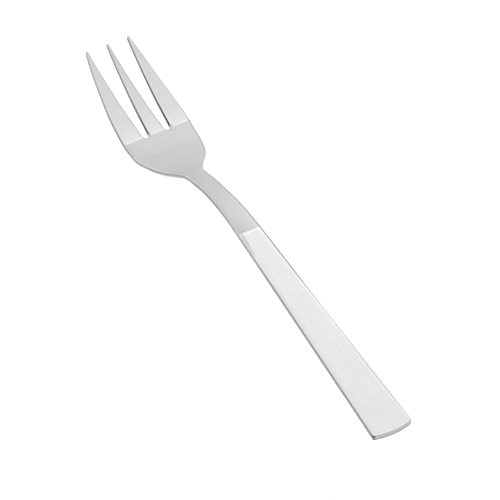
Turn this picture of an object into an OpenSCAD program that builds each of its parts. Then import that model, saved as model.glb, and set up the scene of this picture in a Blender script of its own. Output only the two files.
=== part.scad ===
// Pastry fork: one blank of stainless sheet, cut, bent and coined.
// The blank is drawn as the regions that its bends and coined lines divide it into.
// +Y runs from the handle's end to the tine tips, +X is to the right and +Z is up.
// The fork lies on its back: the handle's end and the scoop's underside touch Z = 0.

/* [Overall] */
// Length from the handle's end corners to the tine tips, in mm
fork_length = 150; // [130:1:170]
// Thickness of the blank at the handle and at the tine roots
sheet_t = 1.7; // [1.4:0.05:2.2]
// Thickness of the tines at their tips
tip_t = 1.35; // [1.0:0.05:1.6]
// How far the coined top faces of the handle and tines lie below the neck and head
coin_depth = 0.15; // [0.05:0.01:0.3]

/* [Handle] */
// Angle at which the handle rises from its end
handle_rise = 5.65; // [4:0.05:7]
// Distance from the handle's end to the shoulder line
shoulder_y = 72.25; // [68:0.25:76]
// Width across the handle's end
end_w = 11.4; // [9:0.1:13]
// Width at the shoulder line
shoulder_w = 6.8; // [5.8:0.1:7.8]
// How far the rounded end stands out between its two corners
end_crown = 0.8; // [0.4:0.05:1.5]
// Radius of the two corners of the rounded end
end_corner_r = 0.5; // [0.3:0.05:1]

/* [Neck] */
// Radius of the top face along the crest of the neck
crest_r = 64.5; // [55:0.5:75]
// Angle at which the neck and head fall towards the scoop
neck_fall = 14.2; // [13:0.1:16]
// Width at the waist, where the neck is narrowest
waist_w = 5.1; // [4.4:0.1:5.6]

/* [Head] */
// Greatest width of the head
head_w = 20.2; // [17:0.1:23]
// Radius of the top face at the bottom of the scoop
scoop_r = 15.8; // [13:0.1:19]
// Angle at which the sheet leaves the scoop at the tine roots
root_rise = 14.2; // [11:0.1:16]

/* [Tines] */
// Radius of the top face along the tines
tine_r = 129; // [100:1:200]
// Width across the three tips
tip_spread = 13.3; // [12:0.1:16]
// Width of the middle tine at its root
middle_root_w = 4.6; // [3.8:0.1:5.2]
// Width of each tip, left blunt
tip_w = 0.56; // [0.4:0.02:0.9]
// Width of each slot at its closed end
slot_root_w = 2.0; // [1.8:0.02:2.6]

/* [Hidden] */

k = fork_length / 150;
s0 = sin(handle_rise);
c0 = cos(handle_rise);
sf = sin(neck_fall);
cf = cos(neck_fall);
sr = sin(root_rise);
cr = cos(root_rise);

// Stations of the bends along Y, and the height of the top face at each
y_shoulder = shoulder_y * k;
// The underside of the rounded end touches Z = 0
z_shoulder = sheet_t * c0 + end_crown * s0 + y_shoulder * tan(handle_rise);
y_fall = y_shoulder + crest_r * (s0 + sf);
z_fall = z_shoulder - crest_r * (c0 - cf);
// The straight fall is as long as brings the scoop's underside down to Z = 0
z_scoop = sheet_t + scoop_r * (1 - cf);
y_scoop = y_fall + (z_fall - z_scoop) / tan(neck_fall);
y_root = y_scoop + scoop_r * (sf + sr);
z_root = sheet_t + scoop_r * (1 - cr);
// The waist, where the neck ends and the head begins, lies on the straight fall
y_waist = max(min(99.5 * k, y_scoop - 1), y_fall + 0.5);
y_tip = fork_length;
s_tip = sr + (y_tip - y_root) / tine_r;
c_tip = sqrt(1 - s_tip * s_tip);
z_tip = z_root + tine_r * (cr - c_tip);

// The box of the fork is centred on the origin along Y
y_mid = (y_tip + tip_t * s_tip - end_crown) / 2;

// A point on the sheet: station y, with d the depth below the top face
function bend(y, z, s, c, d) = [y + d * s, z - d * c];
root_top = bend(y_root, z_root, sr, cr, -3);
root_low = bend(y_root, z_root, sr, cr, 5);
tip_top = bend(y_tip, z_tip, s_tip, c_tip, -5);
tip_low = bend(y_tip, z_tip, s_tip, c_tip, 5);

// Centre of the tines' top face, which is one long arc
tine_c = bend(y_root, z_root, sr, cr, -tine_r);

// The tines' underside is an arc of its own, because they thin towards the tips
under_a = bend(y_root, z_root, sr, cr, sheet_t);
under_b = bend(y_tip, z_tip, s_tip, c_tip, tip_t);
under_d = under_b - under_a;
under_r = (under_d[0] * under_d[0] + under_d[1] * under_d[1]) / (2 * (under_d[1] * cr - under_d[0] * sr));
under_c = [under_a[0] - under_r * sr, under_a[1] + under_r * cr];

// Outline of the neck, head and tines as [station, share of the step between two widths]
NECK = [[shoulder_y, 1], [82, 0.58], [90, 0.21], [97, 0.04], [99.5, 0]];
FLARE = [[99.5, 0], [101.5, 0.021], [103.5, 0.165], [106, 0.426], [109, 0.663], [112.5, 0.82], [117, 0.95], [123, 1]];
TAPER = [[123, 0], [130, 0.11], [138, 0.4], [146, 0.755], [150, 1]];
function half_widths() = [
    for (p = NECK) [p[0] * k, (waist_w + p[1] * (shoulder_w - waist_w)) / 2],
    for (i = [1:len(FLARE) - 1]) [FLARE[i][0] * k, (waist_w + FLARE[i][1] * (head_w - waist_w)) / 2],
    for (i = [1:len(TAPER) - 1]) [TAPER[i][0] * k, (head_w + TAPER[i][1] * (tip_spread - head_w)) / 2]
];
W = half_widths();

// Smooth curve through the stations: its slope at each is a mean of the two chords beside it
function chord(i) = (W[i + 1][1] - W[i][1]) / (W[i + 1][0] - W[i][0]);
function lean(i) =
    i == 0 ? chord(0) :
    i == len(W) - 1 ? chord(i - 1) :
    chord(i - 1) * chord(i) <= 0 ? 0 :
    let (a = W[i][0] - W[i - 1][0], b = W[i + 1][0] - W[i][0])
    3 * (a + b) / ((2 * b + a) / chord(i - 1) + (b + 2 * a) / chord(i));
function span_of(y, i = 0) = i >= len(W) - 2 || y < W[i + 1][0] ? i : span_of(y, i + 1);
function half_w(y) =
    y >= y_tip ? W[len(W) - 1][1] + (y - y_tip) * chord(len(W) - 2) :
    let (i = span_of(y), h = W[i + 1][0] - W[i][0], t = (y - W[i][0]) / h)
    W[i][1] * (1 + 2 * t) * (1 - t) * (1 - t) + h * lean(i) * t * (1 - t) * (1 - t)
    + W[i + 1][1] * t * t * (3 - 2 * t) - h * lean(i + 1) * t * t * (1 - t);

// Slots between the tines: both edges run from the root to the tip with a slight belly
slot_y = y_root + 0.75;
slot_r = slot_root_w / 2;
slot_x = middle_root_w / 2 + slot_r;
belly = 0.06;
function along(y) = (y - slot_y) / (y_tip - slot_y);
function middle_edge(y) = middle_root_w / 2 + (tip_w - middle_root_w) / 2 * along(y) + 4 * belly * along(y) * (1 - along(y));
function outer_edge(y) = slot_x + slot_r + (tip_spread / 2 - tip_w - slot_x - slot_r) * along(y) - 4 * belly * along(y) * (1 - along(y));

// Colour of bare stainless sheet, satin on the neck and head and brighter where it is coined
SATIN = [0.6, 0.6, 0.61];
BRIGHT = [0.72, 0.72, 0.73];

module place() translate([0, -y_mid, 0]) children();

// A bar that lies across the fork, with its section given as [y, z] points
module across(points)
    rotate([90, 0, 90]) translate([0, 0, -15]) linear_extrude(height = 30) polygon(points);

// What lies between two rods across the fork
module between(outer_c, outer_r, inner_c, inner_r)
    difference() {
        translate([0, outer_c[0], outer_c[1]]) rotate([0, 90, 0]) cylinder(r = outer_r, h = 28, center = true, $fn = 720);
        translate([0, inner_c[0], inner_c[1]]) rotate([0, 90, 0]) cylinder(r = inner_r, h = 34, center = true, $fn = 720);
    }

// A bend in its own frame: it leaves the plane Y = 0 at the height Z = 0 and turns by an angle.
// Its centre lies at the height c, above or below, and it runs towards +Y or -Y.
module turned(c, angle, way) {
    out = abs(c) + 6;
    side = sign(c);
    intersection() {
        between([0, c], side > 0 ? c + sheet_t : -c + coin_depth, [0, c], side > 0 ? c - coin_depth : -c - sheet_t);
        across([
            [0, c],
            [0, c - side * out],
            [way * out * tan(angle / 2), c - side * out],
            [way * out * sin(angle), c - side * out * cos(angle)]
        ]);
    }
}

// A straight stretch of sheet in the same frame, from a start to an end along Y
module straight(from, to)
    translate([-14, from, -sheet_t]) cube([28, to - from, sheet_t + coin_depth]);

// Plan outline of the blank between two stations
module outline(from, to, step)
    linear_extrude(height = 40, center = true)
        polygon([
            for (i = [0:1:ceil((to - from) / step)]) let (y = min(from + i * step, to)) [half_w(y), y],
            for (i = [ceil((to - from) / step):-1:0]) let (y = min(from + i * step, to)) [-half_w(y), y]
        ]);

// The slot to the right of the middle tine
module slot()
    union() {
        translate([slot_x, slot_y, 0]) cylinder(r = slot_r, h = 50, center = true, $fn = 96);
        linear_extrude(height = 50, center = true)
            polygon([
                for (i = [0:1:14]) let (y = slot_y + i * (y_tip + 3 - slot_y) / 14) [outer_edge(y), y],
                for (i = [14:-1:0]) let (y = slot_y + i * (y_tip + 3 - slot_y) / 14) [middle_edge(y), y]
            ]);
    }

// Plan of the handle in the plane of its own sheet
function end_arc_r() = let (h = end_w / 2) (h * h + end_crown * end_crown) / (2 * end_crown);
module handle_plan() {
    r = end_arc_r();
    a = asin((end_w / 2 - end_corner_r) / (r - end_corner_r));
    turn = atan((end_w - shoulder_w) / 2 / (y_shoulder / c0));
    cx = (r - end_corner_r) * sin(a);
    cy = r - end_crown - (r - end_corner_r) * cos(a);
    sides = [
        for (i = [0:1:16]) let (u = a * i / 16) [r * sin(u), r - end_crown - r * cos(u)],
        for (i = [1:1:6]) let (u = a + (90 + turn - a) * i / 6) [cx + end_corner_r * sin(u), cy - end_corner_r * cos(u)],
        [shoulder_w / 2, y_shoulder / c0]
    ];
    polygon([
        for (p = sides) p,
        for (i = [len(sides) - 1:-1:1]) [-sides[i][0], sides[i][1]]
    ]);
}

// Flat slab that rises from the table, with its coined face on top
module handle()
    color(BRIGHT) place()
        translate([0, sheet_t * s0, end_crown * s0]) rotate([handle_rise, 0, 0]) linear_extrude(height = sheet_t) handle_plan();

// Neck: the sheet turns over the crest and narrows to the waist
module neck()
    color(SATIN) place()
        intersection() {
            translate([0, y_fall, z_fall]) rotate([-neck_fall, 0, 0]) union() {
                turned(-crest_r, handle_rise + neck_fall, -1);
                straight(0, (y_waist - y_fall) / cf);
            }
            outline(y_shoulder, y_waist + 1, 1.5 * k);
        }

// Head: from the waist down the fall and through the scoop, out to the coined line across the tine roots
module head()
    color(SATIN) place()
        difference() {
            intersection() {
                translate([0, y_scoop, z_scoop]) rotate([-neck_fall, 0, 0]) union() {
                    straight(-(y_scoop - y_waist) / cf, 0);
                    turned(scoop_r, neck_fall + root_rise, 1);
                }
                outline(y_waist - 1, y_root + 2, 1 * k);
            }
            slot();
            mirror([1, 0, 0]) slot();
        }

// The tines' sheet, with three tines between the two slots
module tine_sheet()
    intersection() {
        between(under_c, under_r, tine_c, tine_r);
        across([root_low, root_top, tip_top, tip_low]);
        outline(y_root - 1, y_tip + 1.2, 1.5 * k);
    }

module middle_tine()
    color(BRIGHT) place()
        difference() {
            intersection() {
                tine_sheet();
                translate([-slot_x, y_root - 5, -20]) cube([2 * slot_x, 60, 50]);
            }
            slot();
            mirror([1, 0, 0]) slot();
        }

module outer_tine()
    difference() {
        intersection() {
            tine_sheet();
            translate([slot_x, y_root - 5, -20]) cube([20, 60, 50]);
        }
        slot();
    }

module right_tine() color(BRIGHT) place() outer_tine();

module left_tine() color(BRIGHT) place() mirror([1, 0, 0]) outer_tine();

handle();
neck();
head();
left_tine();
middle_tine();
right_tine();
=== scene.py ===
from math import radians, sin, cos, tan, sqrt, pi, asin, atan
import bpy
import numpy as np
from mathutils import Matrix, Vector
from mathutils.geometry import delaunay_2d_cdt


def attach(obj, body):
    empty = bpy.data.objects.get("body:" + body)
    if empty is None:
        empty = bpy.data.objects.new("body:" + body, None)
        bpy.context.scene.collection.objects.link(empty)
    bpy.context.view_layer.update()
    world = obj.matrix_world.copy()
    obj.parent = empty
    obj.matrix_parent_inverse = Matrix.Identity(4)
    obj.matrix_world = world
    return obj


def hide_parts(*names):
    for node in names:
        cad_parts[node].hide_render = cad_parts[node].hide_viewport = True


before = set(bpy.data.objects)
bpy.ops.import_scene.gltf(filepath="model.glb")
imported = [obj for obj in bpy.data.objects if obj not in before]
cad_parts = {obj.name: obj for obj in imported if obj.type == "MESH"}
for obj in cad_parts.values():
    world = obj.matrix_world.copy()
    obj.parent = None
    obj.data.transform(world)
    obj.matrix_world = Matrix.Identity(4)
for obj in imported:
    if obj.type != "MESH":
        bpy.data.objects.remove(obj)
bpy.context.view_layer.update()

scene = bpy.context.scene

# ------------------------------------------------------------------ sizes, in mm
T, TIP_T = 1.7, 1.35            # sheet at the handle and roots, and at the tips
COIN = 0.15                     # the coined faces lie this far below the neck and head
RISE, FALL, ROOT = radians(5.65), radians(14.2), radians(14.2)
SHOULDER, CREST_R, SCOOP_R, TINE_R = 72.25, 64.5, 15.8, 129.0
END_W, SHOULDER_W, WAIST_W, HEAD_W = 11.4, 6.8, 5.1, 20.2
CROWN, CORNER_R = 0.8, 0.5
SPREAD, MID_W, TIP_W, SLOT_W = 13.3, 4.6, 0.56, 2.0
TIP = 150.0

s0, c0, sf, cf, sr, cr = sin(RISE), cos(RISE), sin(FALL), cos(FALL), sin(ROOT), cos(ROOT)
Z_SH = T * c0 + CROWN * s0 + SHOULDER * s0 / c0
Y_FALL = SHOULDER + CREST_R * (s0 + sf)
Z_FALL = Z_SH - CREST_R * (c0 - cf)
Z_SCOOP = T + SCOOP_R * (1 - cf)
Y_SCOOP = Y_FALL + (Z_FALL - Z_SCOOP) / tan(FALL)
Y_ROOT = Y_SCOOP + SCOOP_R * (sf + sr)
Z_ROOT = T + SCOOP_R * (1 - cr)
S_TIP = sr + (TIP - Y_ROOT) / TINE_R
WAIST = 99.5
Y_MID = (TIP + TIP_T * S_TIP - CROWN) / 2

# The sheet's centre line: the sine of its slope is a straight line between these stations
KY = np.array([-3.0, SHOULDER, Y_FALL, Y_SCOOP, Y_ROOT, TIP + 3])
KS = np.array([s0, s0, -sf, -sf, sr, sr + (TIP + 3 - Y_ROOT) / TINE_R])
KC = np.sqrt(1 - KS ** 2)
KZ = [T * c0 + CROWN * s0 - 3 * s0 / c0]
for i in range(5):
    dy, ds = KY[i + 1] - KY[i], KS[i + 1] - KS[i]
    KZ.append(KZ[-1] + (dy * KS[i] / KC[i] if abs(ds) < 1e-9 else dy / ds * (KC[i] - KC[i + 1])))
KZ = np.array(KZ)


def line(y):
    """Slope's sine and cosine, and the height of the plain top face, at station y."""
    y = np.asarray(y, float)
    i = np.clip(np.searchsorted(KY, y, side="right") - 1, 0, 4)
    k = (KS[i + 1] - KS[i]) / (KY[i + 1] - KY[i])
    s = KS[i] + k * (y - KY[i])
    c = np.sqrt(1 - s * s)
    flat = np.abs(k) < 1e-9
    z = np.where(flat, KZ[i] + (y - KY[i]) * KS[i] / KC[i], KZ[i] + (KC[i] - c) / np.where(flat, 1, k))
    return s, c, z


def thick(y):
    return np.interp(y, [0, Y_ROOT, TIP], [T, T, TIP_T])


# Outline of the neck, head and tines: a smooth curve through [station, half width]
W = [(y, (WAIST_W + f * (SHOULDER_W - WAIST_W)) / 2) for y, f in
     [(SHOULDER, 1), (82, .58), (90, .21), (97, .04), (99.5, 0)]]
W += [(y, (WAIST_W + f * (HEAD_W - WAIST_W)) / 2) for y, f in
      [(101.5, .021), (103.5, .165), (106, .426), (109, .663), (112.5, .82), (117, .95), (123, 1)]]
W += [(y, (HEAD_W + f * (SPREAD - HEAD_W)) / 2) for y, f in [(130, .11), (138, .4), (146, .755), (150, 1)]]
W = np.array(W)
CH = np.diff(W[:, 1]) / np.diff(W[:, 0])
LEAN = np.zeros(len(W))
LEAN[0], LEAN[-1] = CH[0], CH[-1]
for i in range(1, len(W) - 1):
    if CH[i - 1] * CH[i] > 0:
        a, b = W[i, 0] - W[i - 1, 0], W[i + 1, 0] - W[i, 0]
        LEAN[i] = 3 * (a + b) / ((2 * b + a) / CH[i - 1] + (b + 2 * a) / CH[i])


def half_w(y):
    y = np.asarray(y, float)
    i = np.clip(np.searchsorted(W[:, 0], y, side="right") - 1, 0, len(W) - 2)
    h = W[i + 1, 0] - W[i, 0]
    t = (y - W[i, 0]) / h
    v = (W[i, 1] * (1 + 2 * t) * (1 - t) ** 2 + h * LEAN[i] * t * (1 - t) ** 2
         + W[i + 1, 1] * t * t * (3 - 2 * t) - h * LEAN[i + 1] * t * t * (1 - t))
    v = np.where(y < SHOULDER, END_W / 2 + (SHOULDER_W - END_W) / 2 * y / SHOULDER, v)
    return np.where(y > TIP, W[-1, 1] + (y - TIP) * CH[-1], v)


SLOT_Y, SLOT_R = Y_ROOT + 0.75, SLOT_W / 2
SLOT_X = MID_W / 2 + SLOT_R
BELLY = 0.06


def middle_edge(y):
    u = (np.asarray(y, float) - SLOT_Y) / (TIP - SLOT_Y)
    return MID_W / 2 + (TIP_W - MID_W) / 2 * u + 4 * BELLY * u * (1 - u)


def inner_edge(y):
    u = (np.asarray(y, float) - SLOT_Y) / (TIP - SLOT_Y)
    return SLOT_X + SLOT_R + (SPREAD / 2 - TIP_W - SLOT_X - SLOT_R) * u - 4 * BELLY * u * (1 - u)


def smooth(t):
    t = np.clip(t, 0, 1)
    return t * t * (3 - 2 * t)


# ------------------------------------------------------------------ relief of the top face
RAMP = 0.34                     # length of the step down from the satin sheet to a coined face


def edge_height(y):
    """Height of the top face at its rim, against the plain sheet."""
    below = -0.2 * np.clip((y - 53) / (SHOULDER - 53), 0, 1) ** 2
    above = np.interp(y, [SHOULDER, 74, 76.5, 80, WAIST, 106, 112], [-0.2, -0.08, 0.04, 0.09, 0.1, 0.1, 0.1])
    return np.where(y < SHOULDER, below, above)


def dome(x, y):
    u = np.abs(x) / np.maximum(half_w(y), 0.2)
    p = np.interp(y, [WAIST - 4, 108], [2.0, 3.6])
    e = edge_height(y)
    return e + (COIN - e) * (1 - np.clip(u, 0, 1.2) ** p)


def softmin(a, b, k=0.012):
    h = np.clip(0.5 + 0.5 * (b - a) / k, 0, 1)
    return b + (a - b) * h - k * h * (1 - h)


def to_edge(x, y):
    """Distance in plan to the nearest long edge of the handle, neck, head or tine."""
    out = half_w(y) - np.abs(x)
    m, n = middle_edge(y), inner_edge(y)
    gap = np.where(np.abs(x) < (m + n) / 2, m - np.abs(x), np.abs(x) - n)
    ring_d = np.hypot(np.abs(x) - SLOT_X, y - SLOT_Y) - SLOT_R
    slot = np.where(y > SLOT_Y, gap, ring_d)
    return np.maximum(np.minimum(out, slot), 0)


def relief(x, y):
    """(height above the plain sheet, how far the spot is coined from 0 to 1, with painted light on the tines)."""
    x, y = np.asarray(x, float), np.asarray(y, float)
    h, coined = plain_relief(x, y)
    roll = np.interp(y, [0, 50, 72, 100, 118, TIP], [0.05, 0.05, 0.04, 0.03, 0.03, 0.02])
    reach = np.interp(y, [0, 60, 72, 118, TIP - 14, TIP], [1.5, 1.5, 1.2, 1.2, 0.8, 0.4])
    u = np.clip(1 - to_edge(x, y) / reach, 0, 1)
    h = h - roll * u * u
    t = np.clip((y - Y_ROOT) / 12, 0, 1)
    h = h + np.where(y > Y_ROOT, 0.08 * (1 - t) ** 6 * (1 - 3.4 * t), 0) * smooth((y - Y_ROOT) / RAMP)
    # painted highlight and shade: on the tines the coined value rises above 1 at the roots and falls to 0.68 along them
    return h, np.where(y > Y_ROOT, coined * (0.68 + 0.45 * np.exp(-np.maximum(y - Y_ROOT, 0) / 2.6)), coined)


def plain_relief(x, y):
    d = dome(x, y)
    cut = softmin(d, np.zeros_like(d))
    t = smooth((y - (SHOULDER - RAMP)) / RAMP)
    handle = cut + (d - cut) * t
    root = smooth((y - Y_ROOT) / RAMP)
    tine = d * (1 - root)
    h = np.where(y < SHOULDER, handle, np.where(y < Y_ROOT, d, tine))
    on_face = smooth((d + 0.012) / 0.03)
    # painted highlight: a strip along the right-hand side of the handle towards the shoulder takes the brighter coined
    # colour
    painted_highlight_strip = smooth((x - 1.2) / 0.5) * smooth((y - 45) / 12)
    on_face = np.maximum(on_face, painted_highlight_strip)
    coined = np.where(y < SHOULDER, on_face * (1 - smooth((y - (SHOULDER - 0.14)) / 0.12)), smooth((y - Y_ROOT - 0.02) / 0.12))
    return h, coined


# ------------------------------------------------------------------ mesh code
def inside(points, loop):
    x, y = points[:, 0][:, None], points[:, 1][:, None]
    x1, y1 = loop[:, 0][None], loop[:, 1][None]
    x2, y2 = np.roll(loop[:, 0], -1)[None], np.roll(loop[:, 1], -1)[None]
    with np.errstate(divide="ignore", invalid="ignore"):
        hit = ((y1 > y) != (y2 > y)) & (x < (x2 - x1) * (y - y1) / (y2 - y1) + x1)
    return hit.sum(1) % 2 == 1


def clearance(points, loop):
    a, b = loop, np.roll(loop, -1, 0)
    out = np.full(len(points), 1e9)
    for k in range(0, len(points), 2000):
        p = points[k:k + 2000, None]
        ab = (b - a)[None]
        t = np.clip(((p - a[None]) * ab).sum(-1) / np.maximum((ab ** 2).sum(-1), 1e-12), 0, 1)
        q = a[None] + ab * t[..., None]
        out[k:k + 2000] = np.sqrt(((p - q) ** 2).sum(-1)).min(1)
    return out


def fill(loop, extra):
    """Triangles, counter-clockwise, over a loop and the points inside it. Indices count the loop first."""
    pts = np.vstack([loop, extra]) if len(extra) else loop
    n = len(loop)
    border = {frozenset((i, (i + 1) % n)) for i in range(n)}
    got = delaunay_2d_cdt([Vector((float(p[0]), float(p[1]))) for p in pts], [(i, (i + 1) % n) for i in range(n)], [], 0, 1e-7, True)
    name = [o[0] if o else -1 for o in got[3]]
    if -1 in name or len(name) != len(pts):
        raise RuntimeError("a plan outline crosses itself")
    tris, area = [], []
    for f in got[2]:
        f = [name[i] for i in f]
        for j in range(1, len(f) - 1):
            a, b, c = pts[f[0]], pts[f[j]], pts[f[j + 1]]
            w = (b[0] - a[0]) * (c[1] - a[1]) - (b[1] - a[1]) * (c[0] - a[0])
            tris.append((f[0], f[j], f[j + 1]) if w > 0 else (f[0], f[j + 1], f[j]))
            area.append(abs(w))
    # keep what can be reached from a triangle inside the loop without crossing it
    by_edge = {}
    for t, tri in enumerate(tris):
        for e in range(3):
            by_edge.setdefault(frozenset((tri[e], tri[(e + 1) % 3])), []).append(t)
    mid = np.array([pts[list(tri)].mean(0) for tri in tris])
    start = int(np.argmax(np.where(inside(mid, loop), area, -1)))
    kept, queue = {start: tris[start]}, [start]
    while queue:
        t = queue.pop()
        tri = kept[t]
        for e in range(3):
            a, b = tri[e], tri[(e + 1) % 3]
            if frozenset((a, b)) in border:
                continue
            for o in by_edge[frozenset((a, b))]:
                if o not in kept:
                    c = [v for v in tris[o] if v not in (a, b)][0]
                    kept[o] = (b, a, c)
                    queue.append(o)
    return [kept[t] for t in sorted(kept)]


def rim_radius(x, y):
    """Radius of the rounded edge: it narrows with the tines."""
    r = np.interp(y, [-1, 1, 7, 20, 55, 72, 110, Y_ROOT, 126, 144, TIP], [0.26, 0.28, 0.55, 0.74, 0.74, 0.55, 0.52, 0.5, 0.42, 0.2, 0.13])
    more = np.interp(y, [40, 55, 73, 78, 100, 118, 128], [0, 0.11, 0.4, 0.4, 0.35, 0.25, 0])
    return r + np.where(np.asarray(x) > half_w(y) - 0.9, more, 0)


def low_radius(x, y):
    """Radius of the underside's edge: small, but well worn under both flares."""
    right = 0.75 * np.exp(-((y - 103.8) / 2.6) ** 2)
    left = 0.5 * smooth((y - 95) / 5) * smooth((118 - y) / 5)
    x = np.asarray(x)
    return rim_radius(x, y) * 0.35 + np.where(x > half_w(y) - 0.9, right, np.where(x < 0.9 - half_w(y), left, 0))


def cut_and_painted_light_at(theta, p, n):
    """How far the edge has gone over from the polished face (0) to the rough cut wall (1), and darker above 1. Besides
    the cut wall's own darker finish, it paints reflections, shade and highlights down the edge.

    theta goes down the edge: 0 to 90 round the top rounding, 90 to 110 down the wall, 110 to 200 under it.
    """
    x, y = p[:, 0], p[:, 1]
    outer = (np.abs(x) > half_w(y) - 0.12 - 0.5 * (y > TIP - 2)) | (y < Y_ROOT - 5)
    away = n[:, 0] > 0                                         # faces +X
    slot_end = ~outer & (y < SLOT_Y)
    # painted reflection and painted shade: station by station, where a dark band starts round the rounding, how wide it
    # grows and how dark it gets; slot walls and slot ends go darker than the cut wall as painted shade between the
    # tines
    start = np.where(away, np.interp(y, [42, 56, 124, 130], [5, 0, 0, 7]), np.interp(y, [0, 55, 74, 82, 90, 99, 112, 120, 126, TIP], [34, 32, 34, 40, 48, 66, 68, 60, 36, 34]))
    start = np.where(outer, start, np.where(slot_end, 5, np.where(away, 2, 58)))
    width = np.where(outer & ~away, np.interp(y, [0, 55, 74, 82, 90, 99, 112, 120, 126, TIP], [44, 46, 66, 50, 36, 26, 26, 30, 44, 34]), 15)
    depth = np.where(away, np.interp(y, [0, 20, 42, 53, 66, 90, 97, 101, 109, 114, 119, 124, TIP], [1.25, 1.05, 0.7, 1.15, 1.15, 1.05, 0.95, 0.6, 0.6, 0.85, 1.1, 1.05, 0.5]), np.interp(y, [66, 78, 88, 98, 111, 116, 121, 126, 136], [1.4, 1.5, 1.9, 1.65, 1.5, 1.15, 1.5, 1.5, 1.5]))
    depth = np.where(outer, depth, np.where(slot_end, np.where(away, 0.8, 0.45), np.where(away, 0.95, np.where(x > 0, 2.1, 1.9))))
    v = depth * smooth((theta - start) / width)
    # painted reflection: the lower half of the left-hand wall round the head is painted lighter, as it mirrors the
    # bright floor, and is made less rough with it
    painted_low_wall_light = np.interp(y, [75, 84, 120, 126], [0, 1, 1, 0]) * np.interp(theta, [96.6, 103.2, 110, 130], [0, 0.1, 0.4, 0.85])
    v = v * np.where(outer & ~away, 1 - painted_low_wall_light, 1)
    v = np.where(outer & away, v + (1 - v) * smooth((theta - 68) / 20), v)
    # painted shade: a faint darkening at the top of the left-hand rounding round the head
    v = np.maximum(v, np.where(outer & ~away, np.interp(y, [96, 101, 114, 119], [0, 0.05, 0.05, 0]) * smooth((theta - 15) / 30), 0))
    # painted highlight: the polished shoulder of the left-hand edges is painted a little lighter
    painted_rim_highlight = np.interp(y, [50, 62, 74, 82, 90, 98, 116, 124], [0, 0.25, 0.2, 0.1, 0.04, 0, 0, 0])
    v = v - np.where(outer & ~away, painted_rim_highlight * np.exp(-((theta - 28) / 18) ** 2), 0)
    v = np.where(y > TIP - 0.4, 1.15 * smooth((theta - 8) / 25), v)
    # painted shade: the handle's end face takes the cut wall colour with a darker band on its upper rounding and darker
    # towards the underside, and its left-hand corner darker still
    end = (y < 1) & (n[:, 1] < -0.8)
    flat_end = 0.85 + 0.35 * np.exp(-((theta - 50) / 14) ** 2) + 0.35 * smooth((theta - 100) / 20)
    v = np.where(end, flat_end * smooth((theta - 22) / 20), v)
    corner = (y < 0.7) & (n[:, 0] < -0.25)
    return np.where(corner, 1.8 * smooth((theta - 18) / 24), v)


def walls(points, seam_start, seam_end):
    """Rim columns [x, y, nx, ny, 0, 0, 0] for a counter-clockwise run of points; n points out of the sheet."""
    points = np.asarray(points, float)
    d = np.gradient(points, axis=0)
    n = np.stack([d[:, 1], -d[:, 0]], 1)
    n /= np.linalg.norm(n, axis=1)[:, None]
    if seam_start:
        n[0] = (np.sign(n[0][0]), 0)
    if seam_end:
        n[-1] = (np.sign(n[-1][0]), 0)
    return np.hstack([points, n, np.zeros((len(points), 3))])


def arcs(sign, turn_a, turn_b):
    """Rim columns round a slot's closed end, at the angles A + B * low; low is where the arc meets the root line."""
    turn_a, turn_b = np.broadcast_arrays(np.asarray(turn_a, float), np.asarray(turn_b, float))
    k = len(turn_a)
    return np.stack([np.full(k, sign), np.zeros(k), np.zeros(k), np.zeros(k), np.ones(k), turn_a, turn_b], 1)


def ring(cols, o):
    """Points and outward normals of the rim's columns at a distance o inside the wall."""
    o = np.broadcast_to(np.asarray(o, float), (len(cols),))
    p = cols[:, :2] - cols[:, 2:4] * (o + 0.003)[:, None]
    n = cols[:, 2:4].copy()
    r = SLOT_R + o
    ang = cols[:, 5] - cols[:, 6] * np.arcsin((SLOT_Y - Y_ROOT) / r)
    arc = cols[:, 4] > 0.5
    ap = np.stack([cols[:, 0] * (SLOT_X + r * np.cos(ang)), SLOT_Y + r * np.sin(ang)], 1)
    an = np.stack([-cols[:, 0] * np.cos(ang), -np.sin(ang)], 1)
    p[arc], n[arc] = ap[arc], an[arc]
    return p, n


TOP_STEPS = np.radians([0, 9, 19, 30, 42, 55, 70, 90])
BOT_STEPS = np.radians([90, 70, 50, 32, 15, 0])


def painted_light_factor(x, y):
    """Painted light: a factor on the face colour. It paints the handle a little brighter, adds painted highlights at
    the shoulder line and the tine roots, paints shade in the bend of the neck and towards the tips, and makes the
    middle tine a little darker past 127 mm.
    """
    f = np.interp(y, [0, 30, SHOULDER - 1.3, SHOULDER - 0.75, SHOULDER - 0.35, SHOULDER, 86, 98, 103, 108, 112, 115.3, 117, 118.8, 119.8,
                      Y_ROOT - 0.6, Y_ROOT - 0.05, Y_ROOT + 0.1, 125, 128, 140, TIP],
                  [1.02, 1.045, 1.05, 1.14, 1.14, 0.97, 0.95, 0.93, 0.925, 0.98, 1.02, 1.03, 0.985, 0.94, 0.98,
                   1.03, 1.12, 1.06, 1.07, 1.03, 0.99, 0.93])
    return f * (1 - 0.03 * (np.abs(x) < 2.4) * smooth((y - 127) / 4))


def to_space(x, y, d):
    s, c, z = line(y)
    aside = 0.1 * smooth((y - 124.5) / 9)                       # the tines lean a hair to the left
    return np.stack([x - aside, y + d * s - Y_MID, z - d * c], -1)


def turn(nx, ny, nz, y):
    s, c, _ = line(y)
    return np.stack([nx, ny * c - nz * s, ny * s + nz * c], -1)


def top_normal(x, y):
    e = 0.01
    gx = (relief(x + e, y)[0] - relief(x - e, y)[0]) / (2 * e)
    gy = (relief(x, y + e)[0] - relief(x, y - e)[0]) / (2 * e)
    n = np.stack([-gx, -gy, np.ones_like(gx)], -1)
    return n / np.linalg.norm(n, axis=1)[:, None]


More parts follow.
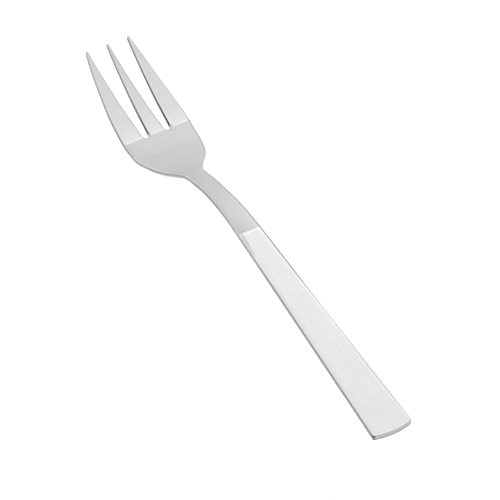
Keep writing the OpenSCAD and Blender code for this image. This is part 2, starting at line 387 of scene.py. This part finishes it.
def make_piece(name, parts, rows, dx, extra_points=(), bottom_dx=0.9):
    """parts goes round the plan counter-clockwise: ("rim", points) or ("seam", number of points)."""
    runs, seams, total = [], [], 0
    rim, join = [], []          # boundary index of each rim column, and whether a wall follows it
    for kind, data in parts:
        if kind == "rim":
            runs.append(data)
            rim += list(range(total, total + len(data)))
            join += [True] * (len(data) - 1) + [False]
            total += len(data)
        else:
            seams.append((total - 1, data))
            total += data
    n = total
    C = np.vstack(runs)
    base_p, base_n = ring(C, 0)
    R = rim_radius(base_p[:, 0], base_p[:, 1])
    where = {c: j for j, c in enumerate(rim)}
    top, bot = np.zeros((n, 2)), np.zeros((n, 2))
    top[rim] = ring(C, R)[0]
    low = low_radius(base_p[:, 0], base_p[:, 1])
    bot[rim] = ring(C, low)[0]
    for a, count in seams:
        b = (a + count + 1) % n
        for j in range(1, count + 1):
            t = j / (count + 1)
            for loop in (top, bot):
                loop[(a + j) % n] = loop[a] * (1 - t) + loop[b] * t
    # interior points
    def grid(loop, rows, dx, margin):
        out = []
        lo, hi = loop.min(0), loop.max(0)
        for j, y in enumerate(rows):
            if lo[1] < y < hi[1]:
                m = max(int(np.ceil((hi[0] - lo[0]) / dx)), 2)
                xs = lo[0] + (np.arange(m + 1) + (0.5 if j % 2 else 0.0)) * (hi[0] - lo[0]) / m
                out.append(np.stack([xs, np.full(len(xs), y)], 1))
        pts = np.vstack(out) if out else np.zeros((0, 2))
        pts = pts[inside(pts, loop)]
        return pts[clearance(pts, loop) > margin]
    gt = grid(top, rows, dx, 0.1)
    if len(extra_points):
        e = np.asarray(extra_points, float)
        e = e[inside(e, top)]
        e = e[clearance(e, top) > 0.08]
        if len(e):
            d = np.sqrt(((gt[:, None] - e[None]) ** 2).sum(-1)).min(1)
            gt = np.vstack([gt[d > 0.07], e])
    coarse = np.arange(top[:, 1].min(), top[:, 1].max(), bottom_dx)
    gb = grid(bot, coarse, bottom_dx, 0.3)
    V, N, A = [], [], []        # positions, normals, attributes (edge, wall, coined); wall and coined also carry painted shade and painted highlights

    def add(pos, nrm, att):
        base = sum(len(v) for v in V)
        V.append(pos); N.append(nrm); A.append(att)
        return base + np.arange(len(pos))

    def ones(k, *v):
        return np.tile(np.array(v, float), (k, 1))

    allt = np.vstack([top, gt]) if len(gt) else top
    ht, ct = relief(allt[:, 0], allt[:, 1])
    nt = top_normal(allt[:, 0], allt[:, 1])
    edge_t = np.zeros(len(allt))
    edge_t[rim] = 0.25
    it = add(to_space(allt[:, 0], allt[:, 1], -ht), turn(nt[:, 0], nt[:, 1], nt[:, 2], allt[:, 1]),
             np.stack([edge_t, np.zeros(len(allt)), ct], 1))
    allb = np.vstack([bot, gb]) if len(gb) else bot
    tb = thick(allb[:, 1])
    ib = add(to_space(allb[:, 0], allb[:, 1], tb), turn(np.zeros(len(allb)), np.zeros(len(allb)), -np.ones(len(allb)), allb[:, 1]),
             ones(len(allb), 0, 0, 0))
    # rings down the rim
    k = len(rim)
    start, tn = -ht[rim], nt[rim]
    stack = [it[rim]]
    for f in TOP_STEPS[1:]:
        q, O = ring(C, R * (1 - sin(f)))
        d = start + R * (1 - cos(f))
        nn = np.concatenate([O * sin(f), np.zeros((k, 1))], 1) + tn * cos(f)
        nn /= np.linalg.norm(nn, axis=1)[:, None]
        stack.append(add(to_space(q[:, 0], q[:, 1], d), turn(nn[:, 0], nn[:, 1], nn[:, 2], q[:, 1]),
                         np.stack([np.full(k, sin(f) if f < 1.5 else 0.35), cut_and_painted_light_at(np.degrees(f), base_p, base_n), ct[rim]], 1)))
    P, O = base_p, base_n
    full = thick(P[:, 1])
    rb = low
    top_d, low_d = start + R, full - rb
    for w in (0.33, 0.66):
        stack.append(add(to_space(P[:, 0], P[:, 1], top_d + (low_d - top_d) * w), turn(O[:, 0], O[:, 1], np.zeros(k), P[:, 1]),
                         np.stack([np.zeros(k), cut_and_painted_light_at(90 + 20 * w, P, O), np.zeros(k)], 1)))
    # under the edge the cut value, with its painted shade, eases off towards the flat underside
    for f in BOT_STEPS[:-1]:
        q, O = ring(C, rb * (1 - sin(f)))
        d = full - rb * (1 - cos(f))
        nn = np.concatenate([O * sin(f), np.full((k, 1), -cos(f))], 1)
        stack.append(add(to_space(q[:, 0], q[:, 1], d), turn(nn[:, 0], nn[:, 1], nn[:, 2], q[:, 1]),
                         np.stack([np.full(k, 0.3 + 0.5 * cos(f)), cut_and_painted_light_at(110 + 90 - np.degrees(f), P, base_n) * min(1.0, 1.6 * sin(f)), np.zeros(k)], 1)))
    stack.append(ib[rim])
    faces, flat = [], []
    for t in fill(top, gt):
        faces.append(tuple(int(it[i]) for i in t)); flat.append(None)
    for t in fill(bot, gb):
        faces.append(tuple(int(ib[i]) for i in reversed(t))); flat.append(None)
    closed = not seams
    for j in range(k):
        if join[j] or closed:
            b = (j + 1) % k
            for m in range(len(stack) - 1):
                faces.append((int(stack[m][j]), int(stack[m + 1][j]), int(stack[m + 1][b]), int(stack[m][b]))); flat.append(None)
    pos = np.vstack(V)
    for a, count in seams:
        b = (a + count + 1) % n
        ra, rb2 = where[a], where[b]
        cap = [int(stack[0][ra])] + [int(it[(a + j) % n]) for j in range(1, count + 1)]
        cap += [int(stack[m][rb2]) for m in range(len(stack))]
        cap += [int(ib[(a + j) % n]) for j in range(count, 0, -1)]
        cap += [int(stack[m][ra]) for m in range(len(stack) - 1, 0, -1)]
        y = float(base_p[ra][1])
        s, c, z = (float(v) for v in line(y))
        rel = pos[cap] - np.array([0, y - Y_MID, z])
        flat2 = np.stack([rel[:, 0], -rel[:, 1] * s + rel[:, 2] * c], 1)
        way = np.sign(base_p[ra][0] - base_p[rb2][0])     # a seam at the far end runs from right to left
        area = 0.5 * np.sum(flat2[:, 0] * np.roll(flat2[:, 1], -1) - np.roll(flat2[:, 0], -1) * flat2[:, 1])
        if area < 0:
            cap, flat2 = cap[::-1], flat2[::-1]
        nrm = np.array([0, c, s]) * way
        for t in fill(flat2, np.zeros((0, 2))):
            t = [cap[i] for i in t]
            g = np.cross(pos[t[1]] - pos[t[0]], pos[t[2]] - pos[t[0]])
            faces.append(tuple(t) if g @ nrm > 0 else (t[0], t[2], t[1])); flat.append(nrm)
    nrm = np.vstack(N)
    att = np.vstack(A)
    att = np.hstack([att, np.zeros((len(att), 1))])
    # painted light: painted highlights and painted shade along the piece, as a factor on its colour
    att[:, 3] = painted_light_factor(pos[:, 0], pos[:, 1] + Y_MID)
    me = bpy.data.meshes.new(name)
    me.from_pydata((pos * 0.001).tolist(), [], faces)
    me.validate(verbose=False)
    me.shade_smooth()
    for k, key in enumerate(("rim", "cut", "coined", "painted_light_factor")):
        me.attributes.new(key, "FLOAT", "POINT").data.foreach_set("value", att[:, k].astype(np.float32))
    loops = np.zeros((len(me.loops), 3))
    for f, poly in enumerate(me.polygons):
        for li in poly.loop_indices:
            loops[li] = nrm[me.loops[li].vertex_index] if flat[f] is None else flat[f]
    me.normals_split_custom_set(loops.tolist())
    me.update()
    ob = bpy.data.objects.new(name, me)
    scene.collection.objects.link(ob)
    return ob


# ------------------------------------------------------------------ the pieces' plans
def stations(a, b, step):
    return np.linspace(a, b, max(int(np.ceil(abs(b - a) / step)) + 1, 2))


def swell(y):
    """The right-hand edge is a touch fuller at the shoulder and neck, and narrower at the flare."""
    return np.interp(y, [45, 66, 90, 96, 98.5, 101, 107, 110], [0, 0.1, 0.12, 0.22, 0.12, -0.1, -0.1, 0]) - 0.5 * np.exp(-((y - 106) / 2.3) ** 2)


def side(a, b, step, sign):
    y = stations(a, b, step)
    w = half_w(y) + (swell(y) if sign > 0 else 0.47 * smooth((y - 94) / 7) * smooth((120 - y) / 7) + 0.32 * np.exp(-((y - 104.8) / 2.8) ** 2) - 0.1 * np.exp(-((y - 113.5) / 2.5) ** 2))
    return walls(np.stack([sign * w, y], 1), True, True)


def handle_half(corner):
    h = END_W / 2
    r = (h * h + CROWN * CROWN) / (2 * CROWN)
    a = asin((h - corner) / (r - corner))
    t = atan((END_W - SHOULDER_W) / 2 / (SHOULDER / c0))
    cx, cy = (r - corner) * sin(a), r - CROWN - (r - corner) * cos(a)
    right = [(r * sin(u), (r - CROWN - r * cos(u)) * c0) for u in np.linspace(0, a, 26)]
    right += [(cx + corner * sin(u), (cy - corner * cos(u)) * c0) for u in np.linspace(a, pi / 2 + t, 10)[1:]]
    right = np.array(right)
    x1, y1 = right[-1]
    y = stations(y1, SHOULDER, 0.45)[1:]
    return np.vstack([right, np.stack([x1 + (SHOULDER_W / 2 - x1) * (y - y1) / (SHOULDER - y1), y], 1)])


def handle_rim():
    # the right-hand corner of the end is ground a little rounder
    left = handle_half(CORNER_R)[1:][::-1] * np.array([-1, 1])
    right = handle_half(0.95)
    right[:, 0] += swell(right[:, 1])
    return walls(np.vstack([left, right]), True, True)


rows_handle = np.unique(np.concatenate([np.arange(-0.6, 50, 1.1), np.arange(50, 70.8, 0.6), np.arange(70.8, 71.7, 0.25),
                                        np.arange(SHOULDER - 0.52, SHOULDER, 0.04)]))
crease = []
for y in np.arange(53.5, SHOULDER - 0.3, 0.3):
    e = float(edge_height(np.array(y)))
    xf = float(half_w(y)) * sqrt(COIN / (COIN - e))
    crease += [(q * (xf + o), y) for q in (-1, 1) for o in (-0.1, -0.045, 0.0, 0.045, 0.1)]

tine_rows = np.unique(np.concatenate([np.arange(Y_ROOT + 0.03, Y_ROOT + 0.5, 0.04), np.arange(Y_ROOT + 0.55, Y_ROOT + 2, 0.25), np.arange(Y_ROOT + 2, TIP, 0.6)]))


def outer_tine(sign):
    y_out = stations(Y_ROOT, TIP - 0.3, 0.45)
    outer = np.stack([half_w(y_out), y_out], 1)
    y_in = stations(TIP - 0.3, SLOT_Y, 0.45)
    inner = np.stack([inner_edge(y_in), y_in], 1)
    mid = (outer[-1] + inner[0]) / 2
    rad = (outer[-1] - inner[0])[0] / 2
    t = np.linspace(0, pi, 11)[1:-1]
    nose = np.stack([mid[0] + rad * np.cos(t), mid[1] + 0.3 * np.sin(t)], 1)
    t = np.linspace(0, 1, 7)[1:]
    run = np.vstack([walls(np.vstack([outer, nose, inner]), True, False), arcs(1, 0 * t, t)])
    return run if sign > 0 else mirrored(run)


def mirrored(run):
    return (run * np.array([-1, 1, -1, 1, 1, 1, 1]))[::-1]


def middle_rim():
    y = stations(SLOT_Y, TIP - 0.3, 0.45)
    right = np.stack([middle_edge(y), y], 1)
    rad = right[-1][0]
    t = np.linspace(0, pi / 2, 6)[1:]
    nose = np.stack([rad * np.cos(t), TIP - 0.3 + 0.3 * np.sin(t)], 1)
    half = np.vstack([right, nose])
    t = np.linspace(0, 1, 7)[:-1]
    arc = arcs(1, 0 * t - pi, t - 1)
    return np.vstack([arc, walls(np.vstack([half, (half[:-1] * np.array([-1, 1]))[::-1]]), False, False), mirrored(arc)])


def slot_run(sign):
    t = np.linspace(0, 1, 15)
    run = arcs(1, -pi * t, 1 - 2 * t)
    return run if sign > 0 else mirrored(run)


pieces = {}
pieces["handle"] = make_piece("handle_coined", [("rim", handle_rim()), ("seam", 11)], rows_handle, 0.8, crease)
pieces["neck"] = make_piece("neck_bent", [
    ("rim", side(SHOULDER, WAIST, 0.4, 1)), ("seam", 9),
    ("rim", side(WAIST, SHOULDER, 0.4, -1)), ("seam", 11)],
    np.arange(SHOULDER + 0.1, WAIST, 0.5), 0.4)
pieces["head"] = make_piece("head_scoop", [
    ("rim", side(WAIST, Y_ROOT, 0.25, 1)), ("seam", 9),
    ("rim", slot_run(1)), ("seam", 7),
    ("rim", slot_run(-1)), ("seam", 9),
    ("rim", side(Y_ROOT, WAIST, 0.25, -1)), ("seam", 9)],
    np.arange(WAIST + 0.15, Y_ROOT, 0.4), 0.45)
pieces["right_tine"] = make_piece("right_tine_tapered", [("rim", outer_tine(1)), ("seam", 9)], tine_rows, 0.45)
pieces["left_tine"] = make_piece("left_tine_tapered", [("rim", outer_tine(-1)), ("seam", 9)], tine_rows, 0.45)
pieces["middle_tine"] = make_piece("middle_tine_tapered", [("rim", middle_rim()), ("seam", 7)], tine_rows, 0.45)

# ------------------------------------------------------------------ steel
def steel(name, seed):
    """Stainless sheet: satin where it is left as tumbled, brighter where coined, dark and streaked where it was cut.
    Its colour also holds painted shade, painted reflections and painted highlights brought in through the masks.
    """
    m = bpy.data.materials.new(name)
    m.use_nodes = True
    nt = m.node_tree
    bsdf = nt.nodes["Principled BSDF"]
    bsdf.inputs["Metallic"].default_value = 1.0

    def node(kind, **values):
        n = nt.nodes.new(kind)
        for key, value in values.items():
            if hasattr(n, key):
                setattr(n, key, value)
            else:
                n.inputs[key.replace("_", " ")].default_value = value
        return n

    def link(a, b):
        nt.links.new(a, b)

    def math(op, a, b=None, c=None, clamp=False):
        n = node("ShaderNodeMath", operation=op)
        n.use_clamp = clamp
        for i, v in enumerate((a, b, c)):
            if v is not None:
                if isinstance(v, (int, float)):
                    n.inputs[i].default_value = v
                else:
                    link(v, n.inputs[i])
        return n.outputs[0]

    coord = node("ShaderNodeTexCoord").outputs["Object"]

    def noise(sx, sy, sz, detail, rough, shift=0.0):
        """Noise with so many cells per millimetre along each axis."""
        mp = node("ShaderNodeMapping")
        mp.inputs["Scale"].default_value = (1000 * sx, 1000 * sy, 1000 * sz)
        mp.inputs["Location"].default_value = (seed + shift, seed * 1.7 - shift, seed * 0.6)
        link(coord, mp.inputs["Vector"])
        n = node("ShaderNodeTexNoise", Scale=1.0, Detail=detail, Roughness=rough)
        link(mp.outputs[0], n.inputs["Vector"])
        return n.outputs[0]

    def spread(v, lo, hi, a=0.0, b=1.0):
        n = node("ShaderNodeMapRange", From_Min=lo, From_Max=hi, To_Min=a, To_Max=b)
        link(v, n.inputs["Value"])
        return n.outputs[0]

    def attr(key):
        n = node("ShaderNodeAttribute")
        n.attribute_name = key
        return n.outputs["Fac"]

    def blend(f, a, b):
        """a + (b - a) * f on single numbers."""
        return math("ADD", math("MULTIPLY", math("SUBTRACT", 1.0, f), a), math("MULTIPLY", f, b))

    # the cut and coined masks bring painted shade and painted highlights into the colour along with the finishes
    cut, coined, rim, painted_light_at = attr("cut"), attr("coined"), attr("rim"), attr("painted_light_factor")
    cloud = noise(0.16, 0.10, 0.16, 2.0, 0.5)                    # broad unevenness, several mm across
    mottle = noise(0.9, 0.6, 0.9, 3.0, 0.6, 3.1)                 # marks about a millimetre across
    grain = noise(7.0, 7.0, 7.0, 2.0, 0.6, 5.3)                  # tumbled grain
    brush = noise(11.0, 0.22, 11.0, 4.0, 0.65, 7.7)              # fine lengthwise brushing
    drag = noise(1.6, 0.12, 1.6, 2.0, 0.5, 9.2)                  # wider lengthwise drag marks
    shear = noise(2.6, 2.6, 0.35, 3.0, 0.6, 11.9)                # upright streaks of the cut edge

    # reflectance
    satin = math("ADD", 0.60, math("ADD", spread(mottle, 0.3, 0.7, -0.008, 0.008), spread(grain, 0.3, 0.7, -0.006, 0.006)))
    shiny = math("ADD", 0.72, math("ADD", spread(drag, 0.3, 0.7, -0.007, 0.007), spread(brush, 0.3, 0.7, -0.006, 0.006)))
    # the cut wall's own darker, rougher finish, set darker still as painted shade for the shaded floor it mirrors
    edge = math("ADD", 0.40, spread(shear, 0.25, 0.75, -0.025, 0.025))
    face = blend(coined, satin, shiny)
    face = math("MULTIPLY", face, spread(cloud, 0.3, 0.7, 0.988, 1.012))
    # the face colour times the painted light factor, blended by the cut mask (cut wall and painted shade) to the edge
    # colour
    total = blend(cut, math("MULTIPLY", face, painted_light_at), edge)
    tint = node("ShaderNodeCombineColor")
    link(total, tint.inputs[0]); link(total, tint.inputs[1]); link(math("MULTIPLY", total, spread(cloud, 0.3, 0.7, 1.016, 1.026)), tint.inputs[2])
    link(tint.outputs[0], bsdf.inputs["Base Color"])
    # roughness
    r_satin = spread(mottle, 0.3, 0.7, 0.34, 0.41)
    r_shiny = math("ADD", spread(brush, 0.3, 0.7, 0.22, 0.29), spread(drag, 0.3, 0.7, -0.015, 0.02))
    r_edge = spread(shear, 0.3, 0.7, 0.30, 0.42)
    rough = blend(cut, blend(coined, r_satin, r_shiny), r_edge)
    rough = math("SUBTRACT", rough, math("MULTIPLY", rim, 0.04), clamp=True)
    link(rough, bsdf.inputs["Roughness"])
    # fine relief
    height = blend(cut, blend(coined, grain, brush), shear)
    bump = node("ShaderNodeBump", Strength=0.2, Distance=0.000005)
    link(height, bump.inputs["Height"])
    link(bump.outputs[0], bsdf.inputs["Normal"])
    return m


coined_mat, satin_mat = steel("coined_steel", 1.3), steel("satin_steel", 4.9)
for name, piece in pieces.items():
    coined = name == "handle" or name.endswith("tine")
    piece.data.materials.append(coined_mat if coined else satin_mat)
    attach(piece, "root")
    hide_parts(name)

# ------------------------------------------------------------------ floor, light, camera
bpy.ops.mesh.primitive_plane_add(size=6, location=(0, 0, -0.00002))
floor = bpy.context.object
floor.name = "floor"
fm = bpy.data.materials.new("pale_floor")
fm.use_nodes = True
fb = fm.node_tree.nodes["Principled BSDF"]
fb.inputs["Base Color"].default_value = (0.9, 0.9, 0.9, 1)
fb.inputs["Roughness"].default_value = 0.9
fb.inputs["Emission Color"].default_value = (1, 1, 1, 1)
fb.inputs["Emission Strength"].default_value = 0.45
floor.data.materials.append(fm)

world = bpy.data.worlds.new("studio")
scene.world = world
world.use_nodes = True
world.node_tree.nodes["Background"].inputs["Color"].default_value = (1, 1, 1, 1)
world.node_tree.nodes["Background"].inputs["Strength"].default_value = 0.99


def softbox(name, towards, distance, width, height, radiance):
    d = Vector(towards).normalized()
    light = bpy.data.lights.new(name, "AREA")
    light.shape = "RECTANGLE"
    light.size, light.size_y = width, height
    light.energy = radiance * pi * width * height
    ob = bpy.data.objects.new(name, light)
    ob.location = d * distance
    ob.rotation_euler = (-d).to_track_quat("-Z", "Y").to_euler()
    scene.collection.objects.link(ob)
    return ob


softbox("key", (0.66, 0.52, 0.54), 1.5, 1.15, 1.15, 0.40)
scene.view_settings.view_transform = "Standard"

AZ, EL = radians(-29.871), radians(45.915)
DIST, FOCAL = 1.0, 3800.93
right = Vector((cos(AZ), sin(AZ), 0))
fwd = Vector((-sin(AZ) * cos(EL), cos(AZ) * cos(EL), -sin(EL)))
up = Vector((-sin(AZ) * sin(EL), cos(AZ) * sin(EL), cos(EL)))
cam = bpy.data.cameras.new("camera")
cam.sensor_width = 36.0
cam.sensor_fit = "HORIZONTAL"
cam.lens = FOCAL * 36.0 / 500
cam.clip_start, cam.clip_end = 0.05, 20
co = bpy.data.objects.new("camera", cam)
aim = Vector((0.0007882, 0.0733503 - Y_MID * 0.001, 0))
m = Matrix((right, up, -fwd)).transposed().to_4x4()
m.translation = aim - fwd * DIST - right * 0.000066 - up * 0.00005
co.matrix_world = m
scene.collection.objects.link(co)
scene.camera = co

# The lens's slight softness and a light unsharp filter on the finished picture, as product photographs have
scene.use_nodes = True
tree = scene.node_tree
tree.nodes.clear()
layers = tree.nodes.new("CompositorNodeRLayers")
limit = tree.nodes.new("CompositorNodeMixRGB")
limit.blend_type, limit.use_clamp = "MIX", True
limit.inputs[0].default_value = 0.0
encode = tree.nodes.new("CompositorNodeGamma")
encode.inputs[1].default_value = 1 / 2.2
soften = tree.nodes.new("CompositorNodeFilter")
soften.filter_type = "SOFTEN"
soften.inputs[0].default_value = 0.6
sharpen = tree.nodes.new("CompositorNodeFilter")
sharpen.filter_type = "SHARPEN"
sharpen.inputs[0].default_value = 0.18
decode = tree.nodes.new("CompositorNodeGamma")
decode.inputs[1].default_value = 2.2
out = tree.nodes.new("CompositorNodeComposite")
for a, b in ((layers.outputs["Image"], limit.inputs[1]), (limit.outputs[0], encode.inputs[0]), (encode.outputs[0], soften.inputs["Image"]),
             (soften.outputs[0], sharpen.inputs["Image"]), (sharpen.outputs[0], decode.inputs[0]), (decode.outputs[0], out.inputs[0])):
    tree.links.new(a, b)
